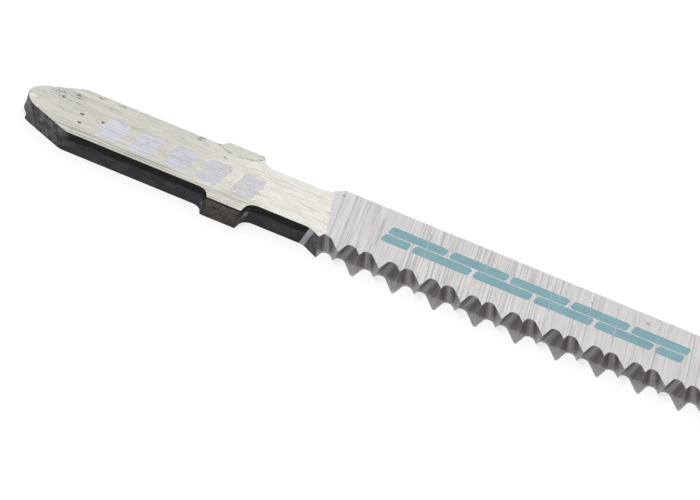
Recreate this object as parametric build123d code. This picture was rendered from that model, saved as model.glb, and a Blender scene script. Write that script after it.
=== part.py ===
from build123d import *
from math import cos, floor, radians, sin, tan
import os

# Jigsaw blade with a T shank: one flat steel strip, punched to its outline, ground thinner
# towards its back edge and toothed by grinding. It is all one piece.
#
# Frame, in millimetres: X runs along the blade, from the nose of the shank (-X) to the
# cutting end (+X). Y runs across it, from the teeth (-Y) to the back edge (+Y). Z is the
# strip's thickness. The origin is midway between the two lugs, on the shank's lower face,
# and the blade lies on that face.

# Strip
strip_thickness = 1.60
overall_length = 83.0

# Shank, which the saw's clamp holds
shank_width = 6.35
nose_reach = 16.40             # middle of the lugs to the nose
nose_radius = 1.75
nose_side_angle = 30.0         # slanted sides of the nose, from the blade's length
shoulder_radius = 1.00         # where the slanted sides meet the straight ones
punched_edge_radius = 0.07     # rolled edge on the upper face, where the punch went in

# Small break where the last of the nose sheared away, on the lower face's tooth side
nose_step_depth = 0.42         # along the blade
nose_step_height = 0.45        # up from the lower face
nose_step_reach = 0.59         # past the centre line towards the back

# Lugs, the cross bar of the T
lug_length = 2.72              # along the blade, at the lugs' outer edge
lug_rise_tooth_side = 0.95     # out from the shank's edge
lug_rise_back_side = 0.70
lug_side_slant = 15.0          # the lugs' ends, from square across the blade
back_lug_reach = 1.48          # middle of the lugs to the back lug's corner near the nose
back_lug_slant = 32.0          # that end of the back lug, from square across the blade
lug_corner_radius = 0.12
lug_shank_fillet = 0.70
lug_neck_fillet = 0.95

# Neck, between the lugs and the body
neck_width = 5.40

# Body
back_edge = 4.10               # centre line to the back edge
tooth_edge = 4.18              # centre line to the tips of the long teeth
body_start = 7.92              # middle of the lugs to the body's first corner, on the back
back_ramp_angle = 50.0         # neck to back edge, from the blade's length
back_ramp_fillet = 1.30
tooth_ramp_angle = 37.0        # neck to tooth edge
tooth_ramp_fillet = 1.00
tooth_ramp_lag = 0.46          # the tooth side reaches its full width this much later
end_slant = 42.0               # the cutting end, from square across the blade
end_tip_radius = 0.15
end_heel_radius = 0.80

# Taper grinding of both faces of the body
relief_at_teeth = 0.03         # depth ground off each face at the tooth edge
relief_at_back = 0.20          # depth ground off each face at the back edge
run_out_angle = 12.5           # slope where the grinding wheel leaves the strip

# Teeth, left standing between ground grooves that lean left and right by turns
tooth_pitch = 1.605
first_groove = 0.10            # body's first corner to the middle of the first groove
end_margin = 2.20              # plain tooth edge left before the tip
gullet_depth = 1.525           # tips of the long teeth to the gullet floors
gullet_radius = 0.43
flank_to_shank = 20.0          # flank nearer the shank, from square across the blade
flank_to_end = 30.0            # flank nearer the cutting end
groove_lean = 15.4             # from square through the strip
crossing_height = 0.96         # above the lower face, where the grooves are evenly spaced

# Clearance by which the cutting shapes run past the strip
overrun = 1.0

body_end = overall_length - nose_reach


def lug_fillet(radius, rise, slant=lug_side_slant):
    """Radius at the foot of a lug, no larger than the lug's side leaves room for."""
    half_turn = radians(90 - slant) / 2
    side = rise / cos(radians(slant)) - lug_corner_radius * tan(half_turn)
    return min(radius, 0.95 * side / tan(half_turn))


def punched_outline():
    """Outline of the punched strip, as a face on the ground plane."""
    shank, neck = shank_width / 2, neck_width / 2
    half_nose = radians(nose_side_angle)
    nose_point = -nose_reach - nose_radius * (1 / sin(half_nose) - 1)
    shoulder = nose_point + shank / tan(half_nose)
    lug = lug_length / 2
    slant = tan(radians(lug_side_slant))
    tooth_lug, back_lug = shank + lug_rise_tooth_side, shank + lug_rise_back_side
    tooth_ramp_end = body_start + tooth_ramp_lag
    tooth_ramp_start = tooth_ramp_end - (tooth_edge - neck) / tan(radians(tooth_ramp_angle))
    back_ramp_start = body_start - (back_edge - neck) / tan(radians(back_ramp_angle))
    tip = body_end + end_tip_radius * (1 / tan(radians(90 - end_slant) / 2) - 1)
    heel = tip - (tooth_edge + back_edge) * tan(radians(end_slant))

    # Each corner, from the nose along the tooth side and home along the back, with its radius
    corners = [
        (nose_point, 0, nose_radius),
        (shoulder, -shank, shoulder_radius),
        (-lug - (tooth_lug - shank) * slant, -shank,
         lug_fillet(lug_shank_fillet, tooth_lug - shank)),
        (-lug, -tooth_lug, lug_corner_radius),
        (lug, -tooth_lug, lug_corner_radius),
        (lug + (tooth_lug - neck) * slant, -neck,
         lug_fillet(lug_neck_fillet, tooth_lug - neck)),
        (tooth_ramp_start, -neck, tooth_ramp_fillet),
        (tooth_ramp_end, -tooth_edge, 0),
        (tip, -tooth_edge, end_tip_radius),
        (heel, back_edge, end_heel_radius),
        (body_start, back_edge, 0),
        (back_ramp_start, neck, back_ramp_fillet),
        (lug + (back_lug - neck) * slant, neck,
         lug_fillet(lug_neck_fillet, back_lug - neck)),
        (lug, back_lug, lug_corner_radius),
        (-back_lug_reach, back_lug, lug_corner_radius),
        (-back_lug_reach - (back_lug - shank) * tan(radians(back_lug_slant)), shank,
         lug_fillet(lug_shank_fillet, back_lug - shank, back_lug_slant)),
        (shoulder, shank, shoulder_radius),
    ]
    points = [(x, y) for x, y, _ in corners]
    radii = [radius for _, _, radius in corners]
    with BuildSketch() as outline:
        with BuildLine():
            FilletPolyline(*points, radius=radii, close=True)
        make_face()
    return outline.sketch


def punched_strip():
    """The outline at full thickness, its upper edges rolled over where the punch went in."""
    strip = extrude(punched_outline(), amount=strip_thickness)
    upper_edges = strip.faces().sort_by(Axis.Z)[-1].edges()
    rolled = [edge for edge in upper_edges if edge.center().X < body_start + tooth_ramp_lag]
    return fillet(rolled, punched_edge_radius)


def nose_break():
    """Block that takes the small sheared step out of the nose."""
    return Pos(-nose_reach - overrun, -shank_width / 2, -overrun) * Box(
        nose_step_depth + overrun,
        shank_width / 2 + nose_step_reach,
        nose_step_height + overrun,
        align=(Align.MIN, Align.MIN, Align.MIN),
    )


def grinding_wedge():
    """Shape ground off the upper face: flat along the blade, deeper towards the back edge.

    Its side view is drawn beside the tooth edge and pushed across the blade, sinking as it
    goes, so the ground face and the slope where the wheel runs out stay true planes.
    """
    sink = (relief_at_back - relief_at_teeth) / (tooth_edge + back_edge)
    run_out = relief_at_back + 2 * overrun
    run_out_length = run_out / tan(radians(run_out_angle))
    side = -tooth_edge - overrun
    floor_height = strip_thickness - relief_at_teeth + sink * overrun
    far_end = body_end + overrun
    with BuildSketch(Plane(origin=(0, side, 0), x_dir=(1, 0, 0), z_dir=(0, -1, 0))) as view:
        with BuildLine():
            Polyline(
                (body_start, floor_height),
                (far_end, floor_height),
                (far_end, floor_height + run_out),
                (body_start - run_out_length, floor_height + run_out),
                close=True,
            )
        make_face()
    across = tooth_edge + back_edge + 2 * overrun
    return extrude(view.sketch, amount=across, dir=(0, 1, -sink))


def groove(middle, lean):
    """One groove: a V with a rounded floor, ground straight through the strip at a lean."""
    shank_side, end_side = radians(flank_to_shank), radians(flank_to_end)
    centre = gullet_depth - tooth_edge - gullet_radius
    mouth = -tooth_edge - overrun
    shank_x, shank_y = -gullet_radius * cos(shank_side), gullet_radius * sin(shank_side)
    end_x, end_y = gullet_radius * cos(end_side), gullet_radius * sin(end_side)
    fall = centre - mouth
    shank_mouth = shank_x - (shank_y + fall) * tan(shank_side)
    end_mouth = end_x + (end_y + fall) * tan(end_side)
    start = -overrun
    shift = tan(radians(lean))
    origin = (middle + (start - crossing_height) * shift, centre, start)
    with BuildSketch(Plane(origin=origin)) as profile:
        with BuildLine():
            Line((shank_mouth, -fall), (shank_x, shank_y))
            ThreePointArc((shank_x, shank_y), (0, gullet_radius), (end_x, end_y))
            Line((end_x, end_y), (end_mouth, -fall))
            Line((end_mouth, -fall), (shank_mouth, -fall))
        make_face()
    through = (strip_thickness + 2 * overrun) / cos(radians(lean))
    return extrude(profile.sketch, amount=through, dir=(shift, 0, 1))


def toothing():
    """All grooves, from the body's first corner to just short of the tip."""
    start = body_start + first_groove
    count = floor((body_end - end_margin - start) / tooth_pitch) + 1
    return [
        groove(start + i * tooth_pitch, -groove_lean if i % 2 == 0 else groove_lean)
        for i in range(count)
    ]


upper_wedge = grinding_wedge()
lower_wedge = mirror(upper_wedge, about=Plane.XY.offset(strip_thickness / 2))
blade = punched_strip() - nose_break() - upper_wedge - lower_wedge - toothing()

os.makedirs("parts", exist_ok=True)
export_step(blade, "parts/blade.step")
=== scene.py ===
"""Jigsaw blade with a T shank: the looks of its steel, print and marks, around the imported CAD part."""

import math
import random

import bmesh
import bpy
from bpy.props import FloatProperty, FloatVectorProperty, IntProperty, PointerProperty
from mathutils import Matrix, Vector, noise
from mathutils.bvhtree import BVHTree


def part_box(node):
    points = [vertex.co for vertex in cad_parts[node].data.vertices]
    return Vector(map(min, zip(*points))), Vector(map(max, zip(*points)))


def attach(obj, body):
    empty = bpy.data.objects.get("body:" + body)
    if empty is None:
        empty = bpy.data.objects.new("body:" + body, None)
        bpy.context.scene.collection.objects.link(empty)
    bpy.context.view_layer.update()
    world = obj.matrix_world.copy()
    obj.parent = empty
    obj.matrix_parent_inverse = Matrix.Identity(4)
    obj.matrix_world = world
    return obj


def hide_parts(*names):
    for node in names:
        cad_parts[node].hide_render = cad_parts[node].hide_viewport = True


bl_info = {
    "name": "Jigsaw blade",
    "version": (1, 0, 0),
    "blender": (4, 5, 0),
    "location": "View3D > Sidebar > Jigsaw blade",
    "description": "Builds the finished blade, its print and a plain studio around the CAD part",
    "category": "Object",
}

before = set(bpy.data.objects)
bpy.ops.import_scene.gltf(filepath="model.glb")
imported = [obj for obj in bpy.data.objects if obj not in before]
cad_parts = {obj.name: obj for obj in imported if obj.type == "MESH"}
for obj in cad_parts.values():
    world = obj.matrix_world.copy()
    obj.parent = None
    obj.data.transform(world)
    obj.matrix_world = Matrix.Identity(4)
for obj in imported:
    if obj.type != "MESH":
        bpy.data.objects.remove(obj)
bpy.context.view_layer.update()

# The frame of the CAD part: X runs from the nose of the shank to the cutting end, Y from the
# teeth to the back edge and Z up through the strip. The origin is midway between the lugs.
MM = 0.001
BODY = "root"
NODE = "blade"
LOWEST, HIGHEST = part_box(NODE)
THICKNESS = (HIGHEST.z - LOWEST.z) / MM

# Zones of the steel's surface, in the order of its material slots
ROLLED, GROUND, PUNCHED, GULLET = range(4)

# What tells the zones apart, in millimetres
TOOTH_SIDE = -2.5     # the toothed side lies beyond this line across the blade
BACK_SIDE = 2.5       # and the back edge beyond this one
RUN_OUT = 1.2         # the slope where the wheel left the strip is shorter than this
LEDGE = 0.25          # the ledge of the nose's break lies further than this from both faces
BEFORE_TEETH = 0.7    # part of the ramp before the first gullet
INSET = 0.012         # a gullet's wall lies further inside the strip's edge than this

# And how level a face is, which is its normal's height
FLAT = 0.99995        # the strip itself, where the slope of the run-out is not
RIM = 0.90            # the part of the rolled rim that looks like the face beside it
BACK_RIM = 0.97       # and the same at the back
ROLLED_EDGE = 0.55    # the lower part of the rim that the punch rolled over

SHARP = math.radians(28)  # edges turning more than this are drawn sharp, worn, and painted with a highlight
TOUCHING = 1e-4           # points of a mesh nearer than this, in millimetres, are one


def seen(red, green, blue):
    """A colour as a screen shows it, from 0 to 255, in the linear values that Blender keeps."""
    shares = [value / 255 for value in (red, green, blue)]
    return [s / 12.92 if s <= 0.04045 else ((s + 0.055) / 1.055) ** 2.4 for s in shares]


def size(name, description, millimetres):
    """A property that holds a length."""
    return FloatProperty(name=name, description=description, default=millimetres * MM,
                         unit="LENGTH", precision=5)


def share(name, description, value):
    """A property that holds a share from 0 to 1."""
    return FloatProperty(name=name, description=description, default=value, min=0, max=1,
                         subtype="FACTOR")


def angle(name, description, degrees):
    """A property that holds an angle."""
    return FloatProperty(name=name, description=description, default=math.radians(degrees),
                         unit="ROTATION")


def position(name, description, x, y, z):
    """A property that holds a point, given in millimetres."""
    return FloatVectorProperty(name=name, description=description, subtype="TRANSLATION",
                               unit="LENGTH", precision=5, default=(x * MM, y * MM, z * MM))


def watts(name, description, value):
    """A property that holds a lamp's power."""
    return FloatProperty(name=name, description=description, default=value, min=0, unit="POWER")


def colour(name, description, red, green, blue):
    """A property that holds a colour, given as a screen shows it."""
    return FloatVectorProperty(name=name, description=description, subtype="COLOR", size=3,
                               min=0, max=1, default=seen(red, green, blue))


class SteelShape(bpy.types.PropertyGroup):
    """How finely the steel is meshed, where its parts lie, and the small forms on it."""

    cell_along: size("Cell along", "Spacing of the mesh along the blade", 0.16)
    cell_across: size("Cell across", "Spacing of the mesh across the plain faces", 0.30)
    cell_teeth: size("Cell at the teeth", "Spacing of the mesh across the toothed edge", 0.14)
    cell_through: size("Cell through", "Spacing of the mesh through the strip", 0.16)
    cell_pits: size("Cell at the pits", "Spacing of the mesh around each pit", 0.04)
    grinding_start: size("Grinding start", "Where the ground face begins, from the origin", 7.92)
    ramp_start: size("Ramp start", "Where the tooth side begins to widen", 6.42)
    ramp_end: size("Ramp end", "Where the tooth side has its full width", 8.38)
    neck_edge: size("Neck edge", "Centre line to the neck's edge", 2.70)
    tooth_edge: size("Tooth edge", "Centre line to the tips of the long teeth", 4.18)
    toothed_depth: size("Toothed depth", "Tips of the teeth to just past the gullets' floors", 1.65)
    first_groove: size("First groove", "Origin to the middle of the first groove", 8.02)
    tooth_pitch: size("Tooth pitch", "Spacing of the grooves", 1.605)
    teeth_end: size("Teeth end", "Where the toothed edge ends, from the origin", 64.8)
    nose_start: size("Nose start", "Where the nose's slanted sides begin, from the origin", -11.8)
    lug_edge: size("Lug edge", "Centre line to the outer edge of the lower lug", 3.875)
    lug_half: size("Lug half", "Middle of the lugs to their ends", 1.36)
    weld: size("Weld", "Middle of the weld's bare stripe at the lower face", 6.29)
    weld_width: size("Weld width", "Width of the bare stripe", 0.38)
    weld_lean: size("Weld lean", "How far the stripe leans from the lower face to the upper", 0.33)
    groove_lean: angle("Groove lean", "Lean of the grooves, to one side and the other by turns", 15.4)
    crossing: size("Crossing", "Height at which the grooves are evenly spaced", 0.96)
    sheared: share("Sheared", "Share of the punched edge that the punch left smooth", 0.36)
    torn_depth: size("Torn depth", "Depth of the rough band where the punched edge tore", 0.035)
    stria_depth: size("Stria depth", "Depth of the upright marks on the nose's edges", 0.030)
    tip_wear: size("Tip wear", "Most that a tooth's tip is worn back", 0.035)
    worn_reach: size("Worn reach", "Height of a tooth's tip that the wear takes in", 0.12)
    pit_radius: size("Pit radius", "Radius of the pits in the shank's upper face", 0.13)
    pit_depth: size("Pit depth", "Depth of the pits", 0.035)


class SteelColours(bpy.types.PropertyGroup):
    """Colours of the steel's zones."""

    rolled: colour("Rolled face", "Plain face of the shank", 225, 222, 215)
    rolled_dark: colour("Rolled grain", "Darker grain of the shank", 186, 183, 175)
    rolled_green: colour("Rolled tarnish", "Greenish patches of the shank", 210, 213, 199)
    rolled_warm: colour("Rolled warmth", "Yellowish streaks of the shank and the neck", 226, 217, 201)
    neck: colour("Neck", "Brighter face of the neck", 243, 240, 234)
    ground: colour("Ground face", "Cross-ground face of the body", 222, 220, 218)
    ground_cool: colour("Ground bands", "Cooler bands of the ground face", 210, 209, 208)
    ground_dark: colour("Grinding stroke", "Darker strokes of the grinding", 170, 168, 167)
    run_out: colour("Run-out", "Slope where the grinding wheel left the strip", 219, 217, 219)
    sheared: colour("Sheared edge", "Smooth upper band of the punched edges", 29, 29, 30)
    torn: colour("Torn edge", "Rough lower band of the punched edges", 68, 67, 72)
    nose: colour("Nose edge", "Slanted edges of the nose", 112, 112, 114)
    lug: colour("Lug edge", "Outer edges of the lugs", 88, 83, 77)
    toothed_strip: colour("Toothed strip", "Edge of the welded strip before its first tooth", 92, 92, 97)
    weld: colour("Weld", "Bare stripe where the toothed strip is welded on", 158, 157, 157)
    gullet: colour("Gullet", "Ground walls between the teeth", 160, 155, 157)
    gullet_dark: colour("Gullet stroke", "Darker strokes of the gullets", 124, 120, 122)
    gullet_tip: colour("Tooth tip", "Gullet walls towards the tips", 192, 189, 190)
    pit: colour("Pit", "Pits and stains in the shank", 92, 87, 80)


class PrintSizes(bpy.types.PropertyGroup):
    """The printed stripes on the body."""

    start: size("Start", "Left end of the print at its lower side", 11.60)
    pitch: size("Pitch", "Spacing of the stripes' groups", 4.83)
    low: size("Lower side", "Lower side of the print, from the centre line", -0.44)
    high: size("Upper side", "Upper side of the print", 1.90)
    slant: angle("Slant", "Lean of the stripes' ends", 16.0)
    count: IntProperty(name="Count", description="Stripes in the upper row", default=5, min=1)
    gap: size("Gap", "Pale gap between the stripes of a row", 0.30)
    slit: size("Slit", "Pale line between the two rows", 0.15)
    corner: size("Corner", "Radius of the stripes' corners", 0.26)
    film: size("Film", "Thickness of the ink", 0.010)
    cell: size("Cell", "Spacing of the film's mesh", 0.25)
    ink: colour("Ink", "Colour of the print", 135, 183, 194)


class MarkSizes(bpy.types.PropertyGroup):
    """The worn marks painted on the shank."""

    start: size("Start", "Middle of the mark nearest the nose, from the origin", -9.45)
    pitch: size("Pitch", "Spacing of the marks", 2.68)
    count: IntProperty(name="Count", description="Number of marks", default=5, min=1)
    middle: size("Middle", "Middle of the marks, from the centre line", -0.70)
    long: size("Length", "Length of a mark along the blade", 1.75)
    high: size("Width", "Width of a mark across the blade", 3.10)
    slant: angle("Slant", "Lean of the marks' ends", 12.0)
    corner: size("Corner", "Radius of the marks' corners", 0.35)
    ragged: size("Ragged", "How far a mark's edge wanders", 0.10)
    film: size("Film", "Thickness of the paint", 0.008)
    cell: size("Cell", "Spacing of the film's mesh", 0.20)
    paint: colour("Paint", "Colour of the marks", 243, 244, 255)


class StudioSizes(bpy.types.PropertyGroup):
    """Camera, lamps, world and floor."""

    aim: position("Aim", "Point that the camera looks at", 9.775, -0.974, 0)
    distance: size("Distance", "Camera to the point that it looks at", 256.705)
    azimuth: angle("Azimuth", "Camera's turn about the upright, from the blade's tooth side", 0.787)
    elevation: angle("Elevation", "Camera's height as an angle", 33.585)
    roll: angle("Roll", "Camera's turn about its own line of sight", 22.768)
    lens: FloatProperty(name="Lens", description="Focal length for a sensor 36 mm wide",
                        default=179.93, min=1, unit="CAMERA")
    floor: size("Floor", "Side of the square floor", 1500)
    floor_grey: share("Floor grey", "How much of the studio's light the floor throws back", 0.55)
    floor_white: share("Floor white", "Share of white that the floor shows the camera by itself", 0.60)
    world: share("World", "Strength of the world's light", 0.50)
    key: watts("Key", "Power of the lamp at the tooth side", 2.0)
    key_place: position("Key place", "Middle of the lamp at the tooth side", -150, -350, 650)
    key_width: size("Key width", "Side of the lamp at the tooth side", 450)
    back: watts("Back", "Power of the lamp behind the back edge", 0.55)
    back_place: position("Back place", "Middle of the lamp behind the back edge", 50, 600, 450)
    back_width: size("Back width", "Side of the lamp behind the back edge", 500)


class Wiring:
    """Adds nodes to one tree, sets them and links what they read."""

    def __init__(self, tree):
        self.tree = tree

    def feed(self, socket, value):
        """Links a socket to what it reads, or sets it to a number or colour."""
        if isinstance(value, bpy.types.NodeSocket):
            self.tree.links.new(value, socket)
        elif socket.type == "RGBA":
            socket.default_value = (*value, 1)
        else:
            socket.default_value = value

    def place(self, made):
        """Sets a new node in the next cell of a plain grid."""
        count = len(self.tree.nodes)
        made.location = (180 * (count % 12), -220 * (count // 12))
        return made

    def node(self, kind, inputs=None, **settings):
        """A new node, with its settings and with its inputs set or linked."""
        made = self.place(self.tree.nodes.new(kind))
        for name, value in settings.items():
            setattr(made, name, value)
        for name, value in (inputs or {}).items():
            self.feed(made.inputs[name], value)
        return made

    def group(self, tree, inputs=None):
        """The outputs of a node group placed in this tree, with its inputs set or linked."""
        made = self.place(self.tree.nodes.new("ShaderNodeGroup"))
        made.node_tree = tree
        for name, value in (inputs or {}).items():
            self.feed(made.inputs[name], value)
        return made.outputs

    def math(self, operation, *values):
        """The result of one sum, of sockets and numbers."""
        return self.node("ShaderNodeMath", dict(enumerate(values)), operation=operation).outputs[0]

    def times(self, *values):
        """The product of several values, such as masks that all have to hold."""
        found = values[0]
        for value in values[1:]:
            found = self.math("MULTIPLY", found, value)
        return found

    def most(self, *values):
        """The largest of several values."""
        found = values[0]
        for value in values[1:]:
            found = self.math("MAXIMUM", found, value)
        return found

    def vector(self, x, y, z):
        """A vector of three sockets or numbers."""
        return self.node("ShaderNodeCombineXYZ", {0: x, 1: y, 2: z}).outputs[0]

    def noise(self, where, detail=2.0, roughness=0.5):
        """Noise from 0 to 1 at a place, one wave to a unit."""
        inputs = {"Vector": where, "Scale": 1.0, "Detail": detail, "Roughness": roughness}
        return self.node("ShaderNodeTexNoise", inputs).outputs[0]

    def ease(self, value, low, high, to_low=0.0, to_high=1.0):
        """A value's share of the way from low to high, eased at both ends."""
        inputs = {"Value": value, "From Min": low, "From Max": high, "To Min": to_low, "To Max": to_high}
        return self.node("ShaderNodeMapRange", inputs, interpolation_type="SMOOTHSTEP").outputs[0]

    def blend(self, amount, first, second):
        """The first colour where the amount is 0, and the second where it is 1."""
        made = self.node("ShaderNodeMix", data_type="RGBA")
        # The node's sockets for colours follow those for numbers and vectors
        for index, value in zip((0, 6, 7), (amount, first, second)):
            self.feed(made.inputs[index], value)
        return made.outputs[2]

    def band(self, value, middle, half, soft):
        """1 within half a width of the middle, falling to 0 over the soft border."""
        away = self.math("ABSOLUTE", self.math("SUBTRACT", value, middle))
        return self.ease(away, half, half + soft, 1.0, 0.0)

    def distance(self, along, across, centre, stretch=1.0):
        """How far a point lies from a centre, with the blade's length counted less by the stretch."""
        side = self.math("DIVIDE", self.math("SUBTRACT", along, centre[0]), stretch)
        rise = self.math("SUBTRACT", across, centre[1])
        return self.math("SQRT", self.math("ADD", self.times(side, side), self.times(rise, rise)))

    def spots(self, along, across, places, stretch, core):
        """1 at each of some places, falling to 0 from a share of its reach to the whole of it."""
        faded = []
        for x, y, reach in places:
            away = self.distance(along, across, (x, y), stretch)
            faded.append(self.ease(away, core * reach, reach, 1.0, 0.0))
        return self.most(*faded)


def effect(name, inputs, outputs):
    """A new shader node group with number sockets: its wiring, its group input and its output node."""
    tree = bpy.data.node_groups.new(name, "ShaderNodeTree")
    for socket, value in inputs.items():
        made = tree.interface.new_socket(socket, in_out="INPUT", socket_type="NodeSocketFloat")
        made.default_value = value
    for socket in outputs:
        tree.interface.new_socket(socket, in_out="OUTPUT", socket_type="NodeSocketFloat")
    given, output = tree.nodes.new("NodeGroupInput"), tree.nodes.new("NodeGroupOutput")
    return Wiring(tree), given.outputs, output.inputs


def place_group():
    """Where a point lies on the blade, in millimetres."""
    name = "Place on the blade"
    if name in bpy.data.node_groups:
        return bpy.data.node_groups[name]
    w, _, output = effect(name, {}, ["Along", "Across", "Up"])
    point = w.node("ShaderNodeTexCoord").outputs["Object"]
    for part, socket in zip(w.node("ShaderNodeSeparateXYZ", {0: point}).outputs, output):
        w.feed(socket, w.math("DIVIDE", part, MM))
    return w.tree


def strokes_group():
    """Fine straight strokes, as rolling or grinding leaves, with a few that cut deeper.

    Run is the place across the strokes and Lie the place along them, both in millimetres.
    Fineness is the strokes in a millimetre, and Length how far one runs.
    """
    name = "Tool strokes"
    if name in bpy.data.node_groups:
        return bpy.data.node_groups[name]
    w, given, output = effect(name, {"Run": 0, "Lie": 0, "Fineness": 8, "Length": 8, "Seed": 0},
                              ["Height", "Broad", "Deep"])

    def layer(finer, longer, seed, detail):
        run = w.times(given["Run"], given["Fineness"], finer)
        lie = w.math("DIVIDE", given["Lie"], w.times(given["Length"], longer))
        return w.noise(w.vector(run, lie, w.math("ADD", given["Seed"], seed)), detail, 0.6)

    straight, broken = layer(1.0, 12.0, 0.0, 2.0), layer(0.8, 1.5, 7.3, 1.0)
    w.feed(output["Height"], w.math("ADD", w.times(straight, 0.6), w.times(broken, 0.4)))
    w.feed(output["Broad"], layer(0.12, 8.0, 13.7, 1.0))
    faded = w.ease(layer(0.2, 0.8, 29.5, 1.0), 0.40, 0.60)
    w.feed(output["Deep"], w.times(w.ease(layer(0.45, 12.0, 19.1, 0.0), 0.63, 0.72), faded))
    return w.tree


def mottle_group():
    """Soft uneven patches, as handling and heat leave on steel."""
    name = "Mottle"
    if name in bpy.data.node_groups:
        return bpy.data.node_groups[name]
    w, given, output = effect(name, {"Size": 1, "Stretch": 1, "Seed": 0}, ["Patches", "Specks"])
    point = w.group(place_group())
    stretched = w.times(given["Size"], given["Stretch"])
    where = w.vector(w.math("DIVIDE", point["Along"], stretched),
                     w.math("DIVIDE", point["Across"], given["Size"]),
                     w.math("ADD", w.math("DIVIDE", point["Up"], given["Size"]), given["Seed"]))
    w.feed(output["Patches"], w.noise(where, 3.0, 0.55))
    finer = w.node("ShaderNodeVectorMath", {0: where, 1: (5, 5, 5)}, operation="MULTIPLY").outputs[0]
    w.feed(output["Specks"], w.ease(w.noise(finer, 2.0, 0.5), 0.60, 0.70))
    return w.tree


def wear_and_highlight_group():
    """Bright, broken line along the sharp edges, which the mesh marks with its edge attribute: wear and
    painted highlight.
    """
    name = "Edge wear"
    if name in bpy.data.node_groups:
        return bpy.data.node_groups[name]
    w, given, output = effect(name, {"Amount": 0.5, "Breaks": 2.0, "Reach": 0.5}, ["Mask"])
    edge = w.node("ShaderNodeAttribute", attribute_name="edge").outputs["Fac"]
    point = w.group(place_group())
    where = w.vector(*(w.times(point[part], given["Breaks"]) for part in ("Along", "Across", "Up")))
    broken = w.ease(w.noise(where, 2.0, 0.6), 0.35, 0.60)
    near = w.ease(edge, w.math("SUBTRACT", 1.0, given["Reach"]), 1.0)
    w.feed(output["Mask"], w.times(near, broken, given["Amount"]))
    return w.tree


def strokes(w, run, lie, fineness, length, seed):
    """The outputs of the tool strokes, placed in a material with its own values."""
    return w.group(strokes_group(), {
        "Run": run, "Lie": lie, "Fineness": fineness, "Length": length, "Seed": seed})


def mottle(w, patch, stretch, seed):
    """The outputs of the mottle, placed in a material with its own size of patch."""
    return w.group(mottle_group(), {"Size": patch, "Stretch": stretch, "Seed": seed})


def edge_wear_and_highlight(w, amount, breaks, reach):
    """The mask of the edge wear and painted edge highlight, placed in a material with its own values."""
    return w.group(wear_and_highlight_group(), {"Amount": amount, "Breaks": breaks, "Reach": reach})["Mask"]


def new_material(name):
    """An empty material and the wiring of its tree."""
    material = bpy.data.materials.new(name)
    material.use_nodes = True
    material.node_tree.nodes.clear()
    return material, Wiring(material.node_tree)


def finish(w, tint, rough, height, bump, depth, metallic=1.0, specular=0.5):
    """Closes a material: its shader, with colour, roughness and bump from the tree.

    The bump's height counts as depth millimetres.
    """
    relief = w.node("ShaderNodeBump", {"Height": height, "Strength": bump, "Distance": depth * MM})
    shader = w.node("ShaderNodeBsdfPrincipled", {
        "Base Color": tint, "Roughness": rough, "Metallic": metallic,
        "Specular IOR Level": specular, "Normal": relief.outputs[0]})
    output = w.node("ShaderNodeOutputMaterial")
    w.feed(output.inputs[0], shader.outputs[0])
    return shader


# Small accidents on the upper face, in millimetres from the origin. A stain or a bright spot
# has its reach too, and a circle borders the lens-shaped stain on the back lug.
PITS = [(-12.15, -0.20), (-10.46, -0.22), (-12.04, -1.37)]
PIT_STRETCH = 1.4  # length of a pit along the blade, for a width of 1 across it
PIT_FIELD = (0.5, 0.7)  # half the length and the width of the field around a pit, meshed finely
STAINS = [
    (-13.91, 1.60, 0.40), (-12.97, 1.70, 0.35), (-14.60, 1.43, 0.25), (-14.05, 1.03, 0.35),
    (-13.44, 0.92, 0.22), (-12.77, 1.00, 0.22), (-15.35, 0.72, 0.13), (-12.90, 2.05, 0.30),
    (-11.40, 2.75, 0.25), (-9.70, 2.75, 0.30), (-13.77, -0.52, 0.20), (-3.70, 2.65, 0.22),
    (-3.40, 2.95, 0.26), (-2.14, 3.05, 0.14), (-1.60, 2.77, 0.17), (-1.18, 2.58, 0.15),
    (-0.28, 2.49, 0.21), (0.78, 2.79, 0.17), (1.14, 3.20, 0.17), (1.27, 3.68, 0.20),
    (-0.68, 3.72, 0.12), (-1.30, 1.66, 0.14), (2.10, -1.05, 0.22),
]
BRIGHT_SPOTS = [(-16.02, -0.34, 0.34), (-15.38, -1.39, 0.13)]
GROUND_STAINS = [
    (29.86, 3.11, 0.10), (33.09, 3.98, 0.12), (27.91, 2.65, 0.16), (32.35, 2.90, 0.20),
    (13.45, -2.76, 0.09),
]
DENT = (7.87, 3.30)
LENS_CENTRE, LENS_RADIUS = (-0.5, 5.20), 2.68

# Where a finish changes, in millimetres from the origin, from its least strength to its full one
NECK_GLOW = (-4.5, 3.0)         # the rolled face brightens along the blade, towards the neck
DARK_BORDER = (-2.0, -2.5)      # its grain is darker in lines near the tooth side
BORDER_END = (3.0, 1.0)         # and those lines run from here towards the nose
DEEP_GRAIN = (-2.0, -6.0)       # deeper lines of the grain, towards the nose
COOLER_GROUND = (20.0, 36.0)    # the ground face is cooler towards the cutting end
WORN_PAINT = (-8.0, 1.0)        # the marks are thinner towards the neck
WELDED = -2.0                   # the welded strip lies beyond this line across the blade
LIGHT_GULLETS = (-2.34, -2.56)  # gullet walls are lighter beyond this at their lower edge
LIGHT_CRESTS = (-3.0, -3.35)    # and so are the short teeth's crests

# The striae of the nose's edges follow each other in this direction, which makes them lean
STRIA_RUN = Vector((1.0, 0.8, 0.28))


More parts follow.
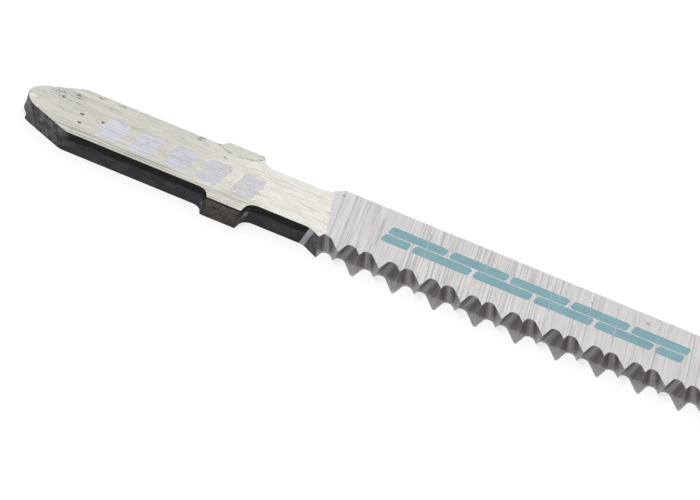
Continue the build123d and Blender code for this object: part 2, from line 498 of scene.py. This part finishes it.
def rolled_steel(colours):
    """Rolled face of the shank: lengthwise grain, tarnish, pits and stains."""
    material, w = new_material("rolled steel")
    point = w.group(place_group())
    along, across, up = point["Along"], point["Across"], point["Up"]
    grain = strokes(w, across, along, fineness=8.0, length=3.0, seed=3.0)
    patches = mottle(w, patch=0.9, stretch=2.4, seed=1.0)
    small = mottle(w, patch=0.35, stretch=2.0, seed=4.0)
    streaks = mottle(w, patch=0.30, stretch=6.0, seed=8.0)
    warm = mottle(w, patch=0.32, stretch=3.5, seed=21.0)
    specks = mottle(w, patch=0.14, stretch=1.6, seed=6.0)

    tint = w.blend(w.ease(grain["Height"], 0.40, 0.60), colours.rolled_dark, colours.rolled)
    tint = w.blend(0.60, tint, colours.rolled)
    tint = w.blend(w.ease(patches["Patches"], 0.48, 0.66, 0.0, 0.75), tint, colours.rolled_green)
    tint = w.blend(w.ease(small["Patches"], 0.52, 0.70, 0.0, 0.40), tint, colours.rolled_dark)
    dull = w.most(w.ease(streaks["Patches"], 0.45, 0.68, 0.0, 0.8),
                  w.ease(grain["Height"], 0.50, 0.36, 0.0, 0.6))
    glow = w.times(w.ease(along, *NECK_GLOW), w.ease(dull, 0.0, 1.0, 1.0, 0.15))
    tint = w.blend(glow, tint, colours.neck)
    tint = w.blend(w.ease(warm["Patches"], 0.50, 0.66, 0.0, 0.50), tint, colours.rolled_warm)
    tint = w.blend(w.ease(specks["Patches"], 0.54, 0.70, 0.0, 0.35), tint, colours.rolled_dark)
    tint = w.blend(w.times(small["Specks"], 0.45), tint, colours.rolled_dark)
    border = w.times(w.ease(across, *DARK_BORDER), w.ease(grain["Height"], 0.54, 0.42),
                     w.ease(along, *BORDER_END))
    tint = w.blend(w.times(border, 0.42), tint, colours.pit)
    tint = w.blend(w.times(grain["Deep"], w.ease(along, *DEEP_GRAIN), 0.25), tint, colours.pit)

    # Stains, pits and the lens-shaped stain with its broken border, on the upper face alone
    top = w.math("GREATER_THAN", up, 0.5 * THICKNESS)
    stained = w.times(w.spots(along, across, STAINS, stretch=2.0, core=0.2),
                      w.ease(specks["Patches"], 0.46, 0.60, 0.0, 0.75))
    pits = [w.ease(w.distance(along, across, pit, PIT_STRETCH), 0.06, 0.16, 1.0, 0.0) for pit in PITS]
    ragged = w.ease(small["Patches"], 0.30, 0.50, 0.4, 1.0)
    from_lens = w.distance(along, across, LENS_CENTRE)
    on_lug = w.times(w.band(along, LENS_CENTRE[0] - 0.05, 1.7, 0.3),
                     w.ease(small["Patches"], 0.35, 0.55, 0.25, 1.0))
    line = w.times(w.band(from_lens, LENS_RADIUS, 0.05, 0.10), on_lug, 0.40)
    lens = w.times(w.ease(from_lens, LENS_RADIUS, LENS_RADIUS - 0.1), top,
                   w.ease(small["Patches"], 0.30, 0.60, 0.35, 0.75))
    tint = w.blend(lens, tint, colours.rolled_green)
    dark = w.most(stained, w.times(w.most(*pits), ragged), line)
    tint = w.blend(w.times(dark, top), tint, colours.pit)
    bright = w.spots(along, across, BRIGHT_SPOTS, stretch=1.2, core=0.2)
    tint = w.blend(w.times(bright, top), tint, colours.neck)

    # Sharp edges painted lighter: partly wear, partly a painted highlight
    worn = edge_wear_and_highlight(w, amount=0.5, breaks=1.6, reach=0.35)
    tint = w.blend(worn, tint, colours.neck)
    rough = w.ease(grain["Height"], 0.3, 0.7, 0.46, 0.38)
    height = w.math("SUBTRACT", grain["Height"], w.times(grain["Deep"], 0.4))
    finish(w, tint, rough, height, bump=0.22, depth=0.02)
    return material


def ground_steel(colours, shape):
    """Cross-ground face of the body, and the slope where the wheel left the strip."""
    material, w = new_material("ground steel")
    point = w.group(place_group())
    along, across = point["Along"], point["Across"]
    cut = strokes(w, along, across, fineness=11.5, length=3.5, seed=11.0)
    tint = w.blend(w.ease(cut["Height"], 0.40, 0.58), colours.ground_dark, colours.ground)
    tint = w.blend(0.30, tint, colours.ground)
    tint = w.blend(w.ease(cut["Broad"], 0.45, 0.62, 0.0, 0.8), tint, colours.ground_cool)
    tint = w.blend(w.ease(along, *COOLER_GROUND, 0.0, 0.4), tint, colours.ground_cool)
    tint = w.blend(w.times(cut["Deep"], 0.75), tint, colours.ground_dark)
    start = shape.grinding_start / MM
    tint = w.blend(w.ease(along, start - 0.02, start), colours.run_out, tint)
    dent = w.ease(w.distance(along, across, DENT), 0.05, 0.14, 0.8, 0.0)
    tint = w.blend(dent, tint, colours.pit)
    grit = mottle(w, patch=0.14, stretch=1.3, seed=33.0)
    top = w.math("GREATER_THAN", point["Up"], 0.5 * THICKNESS)
    stained = w.times(w.spots(along, across, GROUND_STAINS, stretch=1.5, core=0.3), top,
                      w.ease(grit["Patches"], 0.40, 0.55, 0.0, 0.6))
    tint = w.blend(stained, tint, colours.pit)

    # Two deeper strokes, where the wheel came down and where it first moved on, and the paler
    # stripe between them
    uneven = w.ease(w.noise(w.vector(0.0, across, along), 2.0), 0.3, 0.6, 0.6, 1.0)
    deep = w.times(uneven, w.most(w.band(along, start + 0.02, 0.03, 0.05),
                                  w.band(along, start + 0.93, 0.04, 0.06)))
    tint = w.blend(w.times(w.band(along, start + 0.47, 0.30, 0.12), 0.5), tint, colours.run_out)
    tint = w.blend(w.times(deep, 0.45), tint, colours.gullet)

    # Sharp edges painted lighter: partly wear, partly a painted highlight
    worn = edge_wear_and_highlight(w, amount=0.8, breaks=1.2, reach=0.45)
    tint = w.blend(worn, tint, colours.neck)
    rough = w.ease(cut["Height"], 0.3, 0.7, 0.42, 0.34)
    height = w.math("SUBTRACT", cut["Height"], w.times(w.most(cut["Deep"], deep), 0.5))
    finish(w, tint, rough, height, bump=0.20, depth=0.02)
    return material


def punched_steel(colours, shape):
    """Blackened punched edges: smooth above, torn below, greyer at the nose, bare at the weld."""
    material, w = new_material("punched steel")
    point = w.group(place_group())
    along, across, up = point["Along"], point["Across"], point["Up"]
    height_share = w.math("DIVIDE", up, THICKNESS)
    patches = mottle(w, patch=0.5, stretch=2.2, seed=5.0)
    wavy = w.math("ADD", height_share, w.ease(patches["Patches"], 0.2, 0.8, -0.08, 0.08))
    torn_top = 1 - shape.sheared
    lower = w.ease(wavy, torn_top + 0.05, torn_top - 0.06)
    torn = w.blend(w.ease(patches["Patches"], 0.35, 0.65), colours.sheared, colours.torn)
    tint = w.blend(lower, colours.sheared, w.blend(0.6, torn, colours.torn))
    tint = w.blend(w.times(patches["Specks"], lower, 0.22), tint, colours.nose)
    tint = w.blend(w.ease(height_share, 0.06, 0.02, 0.0, 0.6), tint, colours.sheared)

    # Upright striae, leaning a little, at the nose's slanted edges
    run = w.math("ADD", along, w.math("ADD", w.times(across, STRIA_RUN.y), w.times(up, STRIA_RUN.z)))
    striae = strokes(w, run, up, fineness=7.0, length=0.7, seed=23.0)
    nose_start = shape.nose_start / MM
    at_nose = w.math("ADD", w.ease(along, nose_start + 0.3, nose_start - 1.6),
                     w.ease(patches["Patches"], 0.35, 0.65, -0.4, 0.2))
    nose = w.times(at_nose, w.ease(striae["Height"], 0.41, 0.58, 0.40, 0.72))
    tint = w.blend(w.ease(nose, 0.0, 1.0, 0.0, 0.9), tint, colours.nose)

    # Outer edges of the lugs, rubbed to a brownish grey that the corners and some spots lack
    lug_edge, lug_half = shape.lug_edge / MM, shape.lug_half / MM
    from_lugs = w.math("ABSOLUTE", along)
    outer = w.times(w.ease(w.math("ABSOLUTE", across), lug_edge - 0.155, lug_edge - 0.075),
                    w.ease(from_lugs, lug_half + 0.14, lug_half + 0.07),
                    w.ease(height_share, 0.95, 0.90))
    tint = w.blend(w.times(outer, w.ease(patches["Patches"], 0.3, 0.6, 0.55, 1.0)), tint, colours.lug)
    spots = mottle(w, patch=0.22, stretch=1.2, seed=27.0)
    corners = w.ease(from_lugs, lug_half - 0.26, lug_half - 0.02, 0.0, 0.5)
    left_dark = w.most(w.ease(spots["Patches"], 0.52, 0.68, 0.0, 0.6), corners)
    tint = w.blend(w.times(outer, left_dark), tint, colours.sheared)

    # Painted highlights: light streaks in the weld's colour, where the lug's ends turn into the shank
    # and the neck
    tooth_side = w.math("LESS_THAN", across, WELDED)
    streaks = w.most(w.band(along, -lug_half - 0.16, 0.03, 0.10),
                     w.band(along, lug_half + 0.36, 0.05, 0.20))
    bare = w.times(streaks, tooth_side, w.band(height_share, 0.55, 0.20, 0.15),
                   w.ease(patches["Patches"], 0.4, 0.6))
    tint = w.blend(w.times(bare, 0.8), tint, colours.weld)

    # The weld's bare stripe leans as it crosses the edge, and the strip beyond it is less black
    ragged = w.times(w.math("SUBTRACT", patches["Patches"], 0.5), 0.10)
    lean = w.math("ADD", shape.weld / MM, w.times(height_share, shape.weld_lean / MM))
    from_weld = w.math("SUBTRACT", w.math("ADD", along, ragged), lean)
    toothed = w.times(tooth_side, w.ease(from_weld, -0.04, 0.06),
                      w.ease(spots["Patches"], 0.35, 0.60, 0.35, 1.0))
    tint = w.blend(toothed, tint, colours.toothed_strip)
    weld = w.times(w.band(from_weld, 0.0, shape.weld_width / MM / 2, 0.04), tooth_side)
    tint = w.blend(weld, tint, colours.weld)

    # Sharp edges painted greyer: partly wear, partly a painted highlight
    worn = edge_wear_and_highlight(w, amount=0.35, breaks=3.0, reach=0.4)
    tint = w.blend(worn, tint, colours.nose)
    rough = w.ease(lower, 0.0, 1.0, 0.40, 0.60)
    relief = w.math("ADD", w.times(patches["Patches"], lower), w.times(striae["Height"], 0.4))
    metal = w.ease(weld, 0.0, 1.0, 0.75, 1.0)
    finish(w, tint, rough, relief, bump=0.5, depth=0.05, metallic=metal, specular=0.3)
    return material


def gullet_steel(colours, shape):
    """Ground walls between the teeth: strokes along each leaning groove, lighter at the tips."""
    material, w = new_material("gullet steel")
    point = w.group(place_group())
    along, across, up = point["Along"], point["Across"], point["Up"]
    pitch, first = shape.tooth_pitch / MM, shape.first_groove / MM

    # The grooves lean to one side and the other by turns, and so do their strokes. An even number
    # is added to the count, so that its remainder is never one of a negative number.
    grooves = w.math("DIVIDE", w.math("SUBTRACT", along, first - pitch / 2), pitch)
    odd = w.math("MODULO", w.math("ADD", w.math("FLOOR", grooves), 20.0), 2.0)
    lean = w.ease(odd, 0.0, 1.0, -math.tan(shape.groove_lean), math.tan(shape.groove_lean))
    run = w.math("SUBTRACT", along, w.times(lean, w.math("SUBTRACT", up, shape.crossing / MM)))
    cut = strokes(w, run, up, fineness=7.0, length=2.0, seed=31.0)
    patches = mottle(w, patch=0.35, stretch=1.0, seed=9.0)
    tint = w.blend(w.ease(cut["Height"], 0.40, 0.60), colours.gullet_dark, colours.gullet)
    tint = w.blend(0.4, tint, colours.gullet)

    # Lighter towards the lower face and the tips, and all over at the short teeth's crests
    uneven = w.ease(patches["Patches"], 0.2, 0.8, -0.20, 0.20)
    falling = w.math("ADD", w.math("ADD", across, w.times(up, 1.6)), uneven)
    short = w.math("COSINE", w.times(w.math("SUBTRACT", grooves, 1.0), math.pi))
    crest = w.times(w.ease(short, 0.30, 0.75), w.ease(w.math("ADD", across, uneven), *LIGHT_CRESTS))
    grit = mottle(w, patch=0.13, stretch=1.0, seed=15.0)
    lighter = w.blend(w.ease(grit["Patches"], 0.40, 0.62, 0.1, 0.5),
                      colours.gullet_tip, colours.gullet_dark)
    tint = w.blend(w.most(w.ease(falling, *LIGHT_GULLETS), crest), tint, lighter)
    # Pale rim along the gullets' upper edges: partly wear, partly a painted highlight
    worn = edge_wear_and_highlight(w, amount=1.0, breaks=2.0, reach=0.4)
    tint = w.blend(w.times(worn, w.ease(up, 0.85, 1.20, 0.5, 1.0)), tint, colours.ground)
    rough = w.ease(cut["Height"], 0.3, 0.7, 0.64, 0.56)
    finish(w, tint, rough, cut["Height"], bump=0.3, depth=0.02)
    return material


def print_ink(sizes, colours):
    """Printed ink: the strokes of the ground face still show faintly through it."""
    material, w = new_material("teal ink")
    point = w.group(place_group())
    cut = strokes(w, point["Along"], point["Across"], fineness=11.5, length=3.5, seed=11.0)
    patches = mottle(w, patch=1.6, stretch=1.5, seed=13.0)
    deeper = [0.88 * value for value in sizes.ink]
    tint = w.blend(w.ease(patches["Patches"], 0.3, 0.7), sizes.ink, deeper)
    tint = w.blend(w.ease(cut["Height"], 0.42, 0.36, 0.0, 0.25), tint, deeper)
    tint = w.blend(w.times(cut["Deep"], 0.35), tint, colours.ground)
    rough = w.ease(cut["Height"], 0.2, 0.8, 0.50, 0.40)
    finish(w, tint, rough, cut["Height"], bump=0.15, depth=0.015, metallic=0.0)
    return material


def mark_paint(sizes):
    """Thin worn paint: the shank shows wherever it has rubbed away."""
    material, w = new_material("worn paint")
    point = w.group(place_group())
    along, across = point["Along"], point["Across"]
    rubbed = strokes(w, across, along, fineness=5.0, length=1.2, seed=41.0)
    patches = mottle(w, patch=0.60, stretch=1.3, seed=17.0)
    greyer = [0.93 * value for value in sizes.paint]
    tint = w.blend(w.ease(patches["Patches"], 0.3, 0.7), greyer, sizes.paint)
    wear = w.ease(along, *WORN_PAINT, 0.28, 0.38)
    left = w.ease(w.math("SUBTRACT", patches["Patches"], wear), -0.14, 0.12)
    cover = w.times(left, w.ease(rubbed["Height"], 0.36, 0.50, 0.6, 1.0),
                    w.ease(along, *WORN_PAINT, 0.90, 0.70))
    rough = w.ease(patches["Patches"], 0.2, 0.8, 0.65, 0.55)
    shader = finish(w, tint, rough, patches["Patches"], bump=0.2, depth=0.02, metallic=0.0,
                    specular=0.3)
    w.feed(shader.inputs["Alpha"], cover)
    return material


def comb(bm, faces, axis, places):
    """Cuts the faces along planes square to an axis, halving the work at each plane."""
    if not places or not faces:
        return
    half = len(places) // 2
    normal = Vector([float(i == axis) for i in range(3)])
    edges = {edge for face in faces for edge in face.edges}
    verts = {vert for face in faces for vert in face.verts}
    cut = bmesh.ops.bisect_plane(bm, geom=[*verts, *edges, *faces], dist=TOUCHING,
                                 plane_co=normal * places[half], plane_no=normal)
    made = [part for part in cut["geom"] if isinstance(part, bmesh.types.BMFace)]
    below = [face for face in made if face.calc_center_median()[axis] < places[half]]
    above = [face for face in made if face.calc_center_median()[axis] >= places[half]]
    comb(bm, below, axis, places[:half])
    comb(bm, above, axis, places[half + 1:])


def steps(low, high, pitch):
    """Evenly spaced places between two ends, near a pitch."""
    count = max(1, round((high - low) / pitch))
    return [low + (high - low) * i / count for i in range(1, count)]


def zone_of(face, shape):
    """The finish of a face of the blade, from where it lies and how it faces."""
    middle, level = face.calc_center_median(), abs(face.normal.z)
    start = shape.grinding_start / MM
    ramp_start, ramp_end = shape.ramp_start / MM, shape.ramp_end / MM

    # Level faces, with most of the rolled rim, but not the ledge of the nose's break. At the back
    # less of the rim is among them, because it shows there as a thin dark line.
    rim = BACK_RIM if middle.y > BACK_SIDE and middle.x < start else RIM
    ledge = LEDGE < middle.z < THICKNESS - LEDGE
    if level > rim and not ledge:
        rolled = middle.x < start - RUN_OUT or (level > FLAT and middle.x < start)
        return ROLLED if rolled else GROUND
    if level > ROLLED_EDGE:
        return PUNCHED

    # Upright faces inside the strip's edge, which widens over the ramp, are the gullets' walls
    neck_edge, tooth_edge = shape.neck_edge / MM, shape.tooth_edge / MM
    widening = min(max((middle.x - ramp_start) / (ramp_end - ramp_start), 0), 1)
    edge = neck_edge + widening * (tooth_edge - neck_edge)
    toothed = middle.y < TOOTH_SIDE and middle.x > ramp_start + BEFORE_TEETH
    crest = ramp_end < middle.x < shape.teeth_end / MM
    return GULLET if toothed and (crest or middle.y > INSET - edge) else PUNCHED


def refined_steel(shape):
    """A copy of the CAD blade with an even, fine mesh, in millimetres."""
    bm = bmesh.new()
    bm.from_mesh(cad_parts[NODE].data)
    bmesh.ops.scale(bm, vec=Vector((1, 1, 1)) / MM, verts=bm.verts)
    bmesh.ops.remove_doubles(bm, verts=bm.verts, dist=2 * TOUCHING)
    bmesh.ops.dissolve_limit(bm, angle_limit=math.radians(0.3), verts=bm.verts, edges=bm.edges)
    low, high = LOWEST / MM, HIGHEST / MM
    gullets = low.y + shape.toothed_depth / MM
    comb(bm, bm.faces[:], 0, steps(low.x, high.x, shape.cell_along / MM))
    comb(bm, bm.faces[:], 1, steps(low.y, gullets, shape.cell_teeth / MM) + [gullets]
         + steps(gullets, high.y, shape.cell_across / MM))
    comb(bm, bm.faces[:], 2, steps(low.z, high.z, shape.cell_through / MM))
    return bm


def faces_around(bm, x, y):
    """Faces of the upper side that lie whole in the small field around a pit."""
    along, across = PIT_FIELD
    return [face for face in bm.faces if face.normal.z > 0.99
            and max(abs(v.co.x - x) for v in face.verts) < along
            and max(abs(v.co.y - y) for v in face.verts) < across]


def unevenness(*place):
    """Noise from 0 to 1 at a place, one wave to a unit."""
    return 0.5 + 0.5 * noise.noise(Vector(place))


def sink_pits(bm, shape):
    """Presses the small pits into the shank's upper face, on a finer mesh around each."""
    radius, depth, cell = shape.pit_radius / MM, shape.pit_depth / MM, shape.cell_pits / MM
    for x, y in PITS:
        for axis, middle in ((0, x), (1, y)):
            comb(bm, faces_around(bm, x, y), axis, [middle + cell * i for i in range(-8, 9)])
        for vert in {v for face in faces_around(bm, x, y) for v in face.verts}:
            away = math.hypot((vert.co.x - x) / PIT_STRETCH, vert.co.y - y)
            reach = radius * (0.4 + 1.2 * unevenness(vert.co.x * 6, vert.co.y * 6, x))
            vert.co.z -= depth * max(0, 1 - (away / reach) ** 2)


# The rough edges: height over which the tearing sets in, in millimetres, and the waves in a
# millimetre of the tears along the edge and up it, and of the striae along their run
TORN_BORDER = 0.15
TEARS_ALONG, TEARS_UP, STRIAE = 2.4, 3.2, 3.2


def roughen_edges(bm, shape):
    """Tears the lower band of the punched edges and draws striae down the nose's sides."""
    torn_top = THICKNESS * (1 - shape.sheared)
    torn_depth, stria_depth = shape.torn_depth / MM, shape.stria_depth / MM
    for vert in bm.verts:
        if any(face.material_index != PUNCHED or abs(face.normal.z) > 0.3 for face in vert.link_faces):
            continue
        x, y, z = vert.co
        lower = min(max((torn_top - z) / TORN_BORDER, 0), 1)
        inward = lower * torn_depth * unevenness(x * TEARS_ALONG, y * TEARS_ALONG, z * TEARS_UP)
        if x < shape.nose_start / MM:
            inward += stria_depth * unevenness(vert.co.dot(STRIA_RUN) * STRIAE, z * 0.5, 7)
        vert.co -= vert.normal * inward


def wear_tips(bm, shape):
    """Rubs each tooth's tip back by a little, and each by a different amount."""
    chance = random.Random(5)
    first, pitch = shape.first_groove / MM, shape.tooth_pitch / MM
    teeth = int((HIGHEST.x / MM - first) / pitch) + 1
    wear = [chance.uniform(0.2, 1.0) * shape.tip_wear / MM for _ in range(teeth)]
    reach = shape.worn_reach / MM
    inner = reach - shape.tooth_edge / MM
    for vert in bm.verts:
        if vert.co.x > shape.ramp_end / MM and vert.co.y < inner:
            tooth = int((vert.co.x - first) / pitch)
            vert.co.y += wear[tooth] * min(1, (inner - vert.co.y) / reach)


def build_steel(shape):
    """The blade's mesh, with its zones, edges and small forms."""
    bm = refined_steel(shape)
    bm.normal_update()
    for face in bm.faces:
        face.material_index = zone_of(face, shape)
        face.smooth = True
    sink_pits(bm, shape)
    roughen_edges(bm, shape)
    wear_tips(bm, shape)
    bm.normal_update()
    # The edge attribute marks the sharp edges that take the edge wear and the painted highlight
    worn = bm.verts.layers.float.new("edge")
    for edge in bm.edges:
        if edge.is_manifold and edge.calc_face_angle() > SHARP:
            edge.smooth = False
            for vert in edge.verts:
                vert[worn] = 1.0
    return bm


def cad_surface():
    """The CAD blade as a tree that rays can hit, in millimetres."""
    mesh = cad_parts[NODE].data
    corners = [vert.co / MM for vert in mesh.vertices]
    return BVHTree.FromPolygons(corners, [face.vertices[:] for face in mesh.polygons])


def slanted_bar(start, long, low, high, slant):
    """Corners of a bar whose ends lean, starting from its lower left one."""
    lean = math.tan(slant)
    return [(start + low * lean, low), (start + long + low * lean, low),
            (start + long + high * lean, high), (start + high * lean, high)]


def rounded(corners, radius, points=6):
    """A closed outline whose corners, given in turn to the left, are arcs."""
    outline = []
    for i, corner in enumerate(corners):
        here = Vector(corner)
        to_last = (Vector(corners[i - 1]) - here).normalized()
        to_next = (Vector(corners[(i + 1) % len(corners)]) - here).normalized()
        half = to_last.angle(to_next) / 2
        middle = here + (to_last + to_next).normalized() * radius / math.sin(half)
        first = here + to_last * radius / math.tan(half) - middle
        for j in range(points):
            turn = (math.pi - 2 * half) * j / (points - 1)
            spoke = Vector((first.x * math.cos(turn) - first.y * math.sin(turn),
                            first.x * math.sin(turn) + first.y * math.cos(turn)))
            outline.append(middle + spoke)
    return outline


def film_mesh(name, outlines, cell, thickness):
    """A closed film over the steel's upper face, in metres, from flat outlines in millimetres.

    Its underside lies a little inside the steel, so that no gap shows at its rim.
    """
    surface = cad_surface()
    above, down, sunk = 10, Vector((0, 0, -1)), 0.3 * thickness
    bm = bmesh.new()
    for outline in outlines:
        bm.faces.new([bm.verts.new((x, y, 0)) for x, y in outline])
    for axis in (0, 1):
        places = [vert.co[axis] for vert in bm.verts]
        comb(bm, bm.faces[:], axis, steps(min(places), max(places), cell))
    top, verts = bm.faces[:], bm.verts[:]
    rims = [loop for face in top for loop in face.loops if loop.edge.is_boundary]
    pairs = [(loop.vert, loop.link_loop_next.vert) for loop in rims]
    twins = {}
    for vert in verts:
        height = surface.ray_cast(Vector((vert.co.x, vert.co.y, above)), down)[0].z
        twins[vert] = bm.verts.new((vert.co.x, vert.co.y, height - sunk))
        vert.co.z = height + thickness
    for face in top:
        bm.faces.new([twins[vert] for vert in reversed(face.verts)])
    for first, second in pairs:
        bm.faces.new([second, first, twins[first], twins[second]])
    bmesh.ops.scale(bm, vec=Vector((MM, MM, MM)), verts=bm.verts)
    mesh = bpy.data.meshes.new(name)
    bm.to_mesh(mesh)
    bm.free()
    return mesh


def add_piece(context, name, mesh, *materials):
    """Puts a finished mesh, with its materials, on the blade's body."""
    for material in materials:
        mesh.materials.append(material)
    piece = bpy.data.objects.new(name, mesh)
    context.scene.collection.objects.link(piece)
    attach(piece, BODY)
    return piece


class BLADE_OT_steel(bpy.types.Operator):
    """Build the steel blade over its CAD node, with its zones and finishes"""

    bl_idname = "jigsaw_blade.steel"
    bl_label = "Steel blade"

    def execute(self, context):
        shape, colours = context.scene.blade_shape, context.scene.blade_colours
        bm = build_steel(shape)
        bmesh.ops.scale(bm, vec=Vector((MM, MM, MM)), verts=bm.verts)
        mesh = bpy.data.meshes.new("steel_blade")
        bm.to_mesh(mesh)
        bm.free()
        piece = add_piece(context, "steel_blade", mesh, rolled_steel(colours),
                          ground_steel(colours, shape), punched_steel(colours, shape),
                          gullet_steel(colours, shape))
        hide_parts(NODE)
        return {"FINISHED"}


class BLADE_OT_print(bpy.types.Operator):
    """Print the slanted teal stripes on the body's ground face"""

    bl_idname = "jigsaw_blade.print"
    bl_label = "Printed stripes"

    def execute(self, context):
        sizes = context.scene.blade_print
        start, pitch, low, high, gap, slit, corner = (value / MM for value in (
            sizes.start, sizes.pitch, sizes.low, sizes.high, sizes.gap, sizes.slit, sizes.corner))
        lower, upper = (low, (low + high - slit) / 2), ((low + high + slit) / 2, high)
        whole, half = pitch - gap, pitch / 2 - gap
        last = start + (sizes.count - 0.5) * pitch

        # The lower row is laid half a stripe along from the upper one, with a short one at each end
        bars = [(start + i * pitch, whole, *upper) for i in range(sizes.count)]
        bars += [(start + (i + 0.5) * pitch, whole, *lower) for i in range(sizes.count - 1)]
        bars += [(start, half, *lower), (last, half, *lower)]
        outlines = [rounded(slanted_bar(*bar, sizes.slant), corner) for bar in bars]
        mesh = film_mesh("teal_print", outlines, sizes.cell / MM, sizes.film / MM)
        add_piece(context, "teal_print", mesh, print_ink(sizes, context.scene.blade_colours))
        return {"FINISHED"}


class BLADE_OT_marks(bpy.types.Operator):
    """Paint the worn pale marks on the shank's upper face"""

    bl_idname = "jigsaw_blade.marks"
    bl_label = "Worn marks"

    def execute(self, context):
        sizes = context.scene.blade_marks
        long, high, middle = sizes.long / MM, sizes.high / MM, sizes.middle / MM
        outlines = []
        for i in range(sizes.count):
            left = (sizes.start + i * sizes.pitch) / MM - long / 2
            bar = slanted_bar(left, long, middle - high / 2, middle + high / 2, sizes.slant)
            outlines.append([self.ragged(point, sizes.ragged / MM)
                             for point in self.divided(rounded(bar, sizes.corner / MM))])
        mesh = film_mesh("worn_marks", outlines, sizes.cell / MM, sizes.film / MM)
        add_piece(context, "worn_marks", mesh, mark_paint(sizes))
        return {"FINISHED"}

    def divided(self, outline):
        """The outline with points added along its straight runs, a tenth of a millimetre apart."""
        points, spacing = [], 0.1
        for here, after in zip(outline, outline[1:] + outline[:1]):
            count = max(1, round((after - here).length / spacing))
            points += [here.lerp(after, i / count) for i in range(count)]
        return points

    def ragged(self, point, reach):
        """A point of the outline, moved a little from where the brush would have left it."""
        waves = point * 1.8
        push = [noise.noise(Vector((*waves, level))) for level in (0.0, 9.0)]
        return point + Vector(push) * reach * 2


class BLADE_OT_studio(bpy.types.Operator):
    """Set up the camera, lamps, world and floor"""

    bl_idname = "jigsaw_blade.studio"
    bl_label = "Studio"

    def execute(self, context):
        studio = context.scene.blade_studio
        self.camera(context, studio)
        self.floor(context, studio)
        self.world(context, studio)
        self.lamp(context, "key", Vector(studio.key_place), studio.key_width, studio.key)
        self.lamp(context, "back", Vector(studio.back_place), studio.back_width, studio.back)
        return {"FINISHED"}

    def camera(self, context, studio):
        """Looks at the blade from the photograph's angle."""
        data = bpy.data.cameras.new("camera")
        data.sensor_width, data.lens = 36, studio.lens
        data.clip_start, data.clip_end = 0.01, 10
        camera = bpy.data.objects.new("camera", data)
        turn = (Matrix.Rotation(-studio.azimuth, 4, "Z")
                @ Matrix.Rotation(math.pi / 2 - studio.elevation, 4, "X")
                @ Matrix.Rotation(studio.roll, 4, "Z"))
        back = turn @ Vector((0, 0, studio.distance))
        camera.matrix_world = Matrix.Translation(Vector(studio.aim) + back) @ turn
        context.scene.collection.objects.link(camera)
        context.scene.camera = camera

    def floor(self, context, studio):
        """A square floor just under the blade, which keeps its shadow."""
        half = studio.floor / 2
        mesh = bpy.data.meshes.new("floor")
        corners = [(-half, -half), (half, -half), (half, half), (-half, half)]
        drop = 0.02 * MM
        mesh.from_pydata([(x, y, -drop) for x, y in corners], [], [(0, 1, 2, 3)])
        material, w = new_material("floor")
        rays = w.node("ShaderNodeLightPath").outputs
        straight = w.most(rays["Is Camera Ray"], rays["Is Glossy Ray"], rays["Is Transmission Ray"])
        shader = w.node("ShaderNodeBsdfPrincipled", {
            "Base Color": [studio.floor_grey] * 3, "Roughness": 0.9, "Specular IOR Level": 0.0,
            "Emission Color": (1, 1, 1), "Emission Strength": w.times(straight, studio.floor_white)})
        output = w.node("ShaderNodeOutputMaterial")
        w.feed(output.inputs[0], shader.outputs[0])
        mesh.materials.append(material)
        floor = bpy.data.objects.new("floor", mesh)
        context.scene.collection.objects.link(floor)

    def world(self, context, studio):
        """Plain light from all round, which the camera sees as white."""
        world = bpy.data.worlds.new("studio")
        world.use_nodes = True
        world.node_tree.nodes.clear()
        w = Wiring(world.node_tree)
        straight = w.node("ShaderNodeLightPath").outputs["Is Camera Ray"]
        strength = w.math("ADD", studio.world, w.times(straight, 1 - studio.world))
        shader = w.node("ShaderNodeBackground", {"Color": (1, 1, 1), "Strength": strength})
        output = w.node("ShaderNodeOutputWorld")
        w.feed(output.inputs[0], shader.outputs[0])
        context.scene.world = world

    def lamp(self, context, name, place, width, power):
        """A square soft lamp that faces the blade."""
        data = bpy.data.lights.new(name, "AREA")
        data.shape, data.size, data.energy = "SQUARE", width, power
        lamp = bpy.data.objects.new(name, data)
        lamp.location = place
        lamp.rotation_euler = (-place).to_track_quat("-Z", "Y").to_euler()
        context.scene.collection.objects.link(lamp)


class BLADE_PT_panel(bpy.types.Panel):
    """Buttons that build the blade and its studio"""

    bl_idname = "BLADE_PT_panel"
    bl_label = "Jigsaw blade"
    bl_space_type = "VIEW_3D"
    bl_region_type = "UI"
    bl_category = "Jigsaw blade"

    def draw(self, context):
        """Lists the operators in the order in which main calls them."""
        for operator in OPERATORS:
            self.layout.operator(operator.bl_idname)


OPERATORS = (BLADE_OT_studio, BLADE_OT_steel, BLADE_OT_print, BLADE_OT_marks)
GROUPS = {"blade_shape": SteelShape, "blade_colours": SteelColours, "blade_print": PrintSizes,
          "blade_marks": MarkSizes, "blade_studio": StudioSizes}


def register():
    """Registers the classes and hangs the sizes and colours on the scene."""
    for made in (*GROUPS.values(), *OPERATORS, BLADE_PT_panel):
        bpy.utils.register_class(made)
    for name, group in GROUPS.items():
        setattr(bpy.types.Scene, name, PointerProperty(type=group))


def unregister():
    """Takes back what register did."""
    for name in GROUPS:
        delattr(bpy.types.Scene, name)
    for made in (BLADE_PT_panel, *reversed(OPERATORS), *reversed(GROUPS.values())):
        bpy.utils.unregister_class(made)


def main():
    """Builds the whole scene."""
    register()
    bpy.context.scene.view_settings.view_transform = "Standard"
    bpy.ops.jigsaw_blade.studio()
    bpy.ops.jigsaw_blade.steel()
    bpy.ops.jigsaw_blade.print()
    bpy.ops.jigsaw_blade.marks()


if __name__ == "__main__":
    main()
